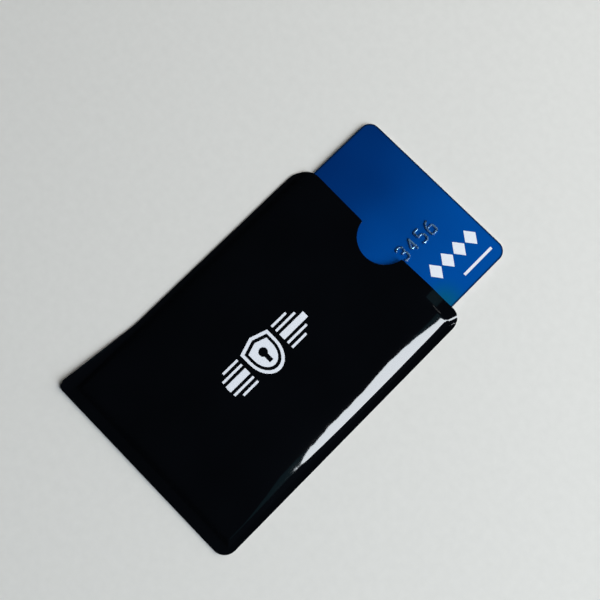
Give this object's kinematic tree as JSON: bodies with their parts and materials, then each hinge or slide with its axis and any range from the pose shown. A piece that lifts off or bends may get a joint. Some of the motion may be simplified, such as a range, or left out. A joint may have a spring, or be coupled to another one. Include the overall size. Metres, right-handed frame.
{
  "type": "rfid card sleeve",
  "caption": "Flat pressed laminate sleeve with a shielding foil, a thumb notch at its mouth and a bank card with raised numbers sliding in it.",
  "frame": {"origin": "centre of the sleeve's flat underside", "axes": "+Y along the sleeve to its mouth, +X to its right side seen from the front, +Z out of the front panel"},
  "size_m": [0.0638, 0.1142, 0.0031],
  "materials": {
    "black_gloss_film": "gloss",
    "black_printed_paper": "satin",
    "shield_foil": "satin",
    "heat_seal_liner": "matte",
    "seal_adhesive": "matte",
    "white_ink": "matte",
    "card_overlay": "gloss",
    "card_print_blue": "satin",
    "card_core_plastic": "matte",
    "antenna_copper": "satin",
    "stripe_oxide": "satin",
    "panel_paint": "matte",
    "tipping_foil": "polished",
    "contact_gold": "polished",
    "module_tape": "matte",
    "module_glue": "satin",
    "silicon": "polished",
    "resin": "satin"
  },
  "bodies": {
    "sleeve": {"rear_gloss_film": "black_gloss_film", "rear_printed_paper": "black_printed_paper", "rear_shield_foil": "shield_foil", "rear_liner": "heat_seal_liner", "left_side_seal": "seal_adhesive", "right_side_seal": "seal_adhesive", "closed_end_seal": "seal_adhesive", "front_liner": "heat_seal_liner", "front_shield_foil": "shield_foil", "front_printed_paper": "black_printed_paper", "front_gloss_film": "black_gloss_film", "printed_emblem": "white_ink"},
    "card": {"card_rear_overlay": "card_overlay", "magnetic_stripe": "stripe_oxide", "signature_panel": "panel_paint", "card_rear_print": "card_print_blue", "card_rear_core": "card_core_plastic", "antenna_track": "antenna_copper", "antenna_bridge": "antenna_copper", "card_front_core": "card_core_plastic", "card_front_print": "card_print_blue", "card_front_overlay": "card_overlay", "card_printed_marks": "white_ink", "raised_numbers": "card_overlay", "number_tipping": "tipping_foil", "chip_glue_frame": "module_glue", "chip_tape": "module_tape", "chip_contacts": "contact_gold", "chip_die": "silicon", "chip_resin_cap": "resin"}
  },
  "joints": [
    {"name": "card_slide", "type": "slide", "parent": "sleeve", "child": "card", "axis": [0, 1, 0], "range_m": [-0.024, 0.065]}
  ]
}
